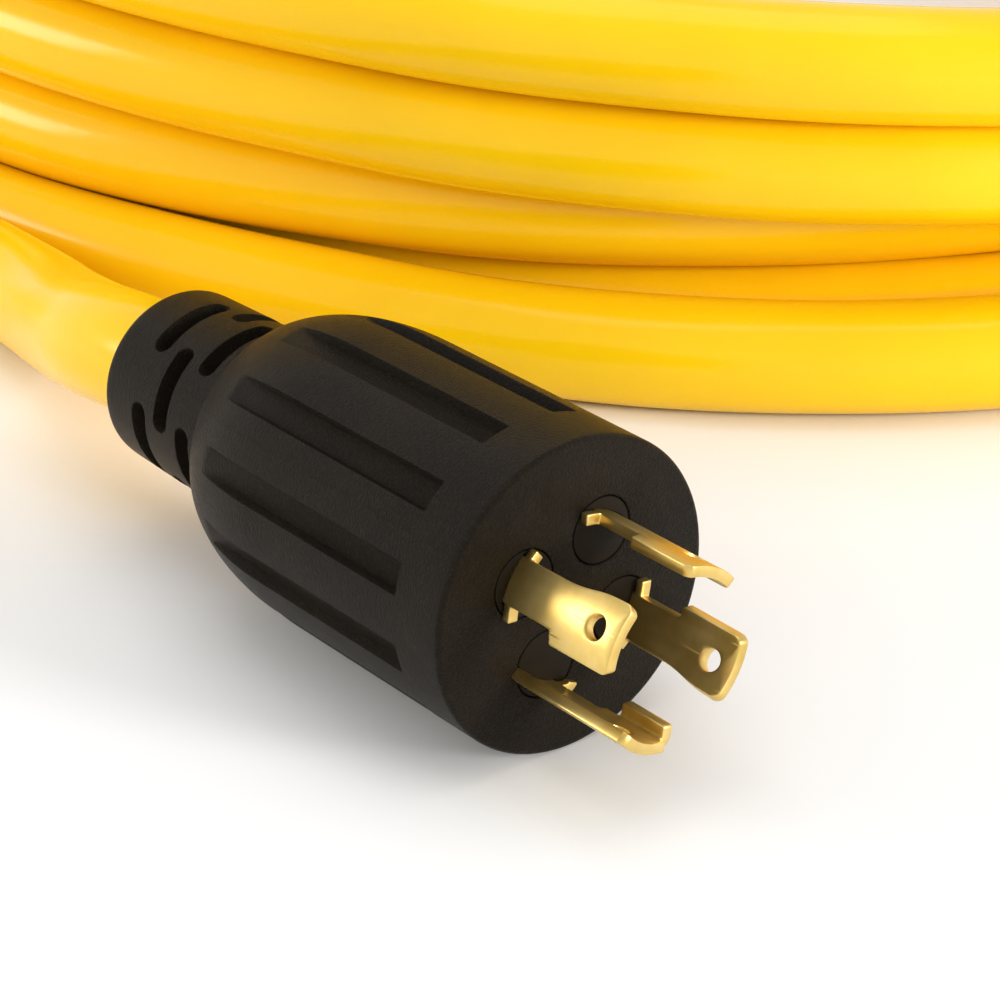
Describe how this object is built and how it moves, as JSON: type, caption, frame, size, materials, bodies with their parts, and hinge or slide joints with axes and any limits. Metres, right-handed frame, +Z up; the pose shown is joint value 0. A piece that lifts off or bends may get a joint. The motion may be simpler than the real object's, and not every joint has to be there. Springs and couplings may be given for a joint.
{
  "type": "locking extension cord",
  "caption": "Heavy yellow power cord in a loosely stacked coil, with a moulded locking plug with curved blades at one end and a matching connector at the other.",
  "frame": {"origin": "on the ground under the middle of the plug, which lies on its side", "axes": "+X along the plug's axis, the way its blades point; +Z up from the ground; +Y towards the coil"},
  "size_m": [0.4007, 0.4027, 0.0997],
  "materials": {
    "overmould": "moulded PVC, fine spark-eroded grain on the grip",
    "carrier": "satin nylon",
    "brass": "brushed, blanked from sheet",
    "copper": "bare stranded copper",
    "jacket": "satin extruded jacket",
    "inner_mould": "plain moulding",
    "filler": "twisted jute",
    "core_white": "extruded insulation",
    "core_black": "extruded insulation",
    "core_green": "extruded insulation",
    "core_red": "extruded insulation"
  },
  "bodies": {
    "root": {"plug_overmould": "overmould", "plug_blade_carrier": "carrier", "plug_blade_neutral": "brass", "plug_blade_hot_x": "brass", "plug_blade_ground": "brass", "plug_blade_hot_y": "brass", "plug_inner_mould": "inner_mould", "plug_jacket_end": "jacket", "plug_cable_filler": "filler", "plug_core_neutral": "core_white", "plug_conductor_neutral": "copper", "plug_core_hot_x": "core_black", "plug_conductor_hot_x": "copper", "plug_core_ground": "core_green", "plug_conductor_ground": "copper", "plug_core_hot_y": "core_red", "plug_conductor_hot_y": "copper", "connector_overmould": "overmould", "connector_face_insert": "carrier", "connector_contact_neutral": "brass", "connector_contact_hot_x": "brass", "connector_contact_ground": "brass", "connector_contact_hot_y": "brass", "connector_inner_mould": "inner_mould", "connector_jacket_end": "jacket", "connector_cable_filler": "filler", "connector_core_neutral": "core_white", "connector_conductor_neutral": "copper", "connector_core_hot_x": "core_black", "connector_conductor_hot_x": "copper", "connector_core_ground": "core_green", "connector_conductor_ground": "copper", "connector_core_hot_y": "core_red", "connector_conductor_hot_y": "copper", "cable_lead": "jacket", "cable_coil": "jacket", "cable_top_turn": "jacket"}
  },
  "joints": []
}
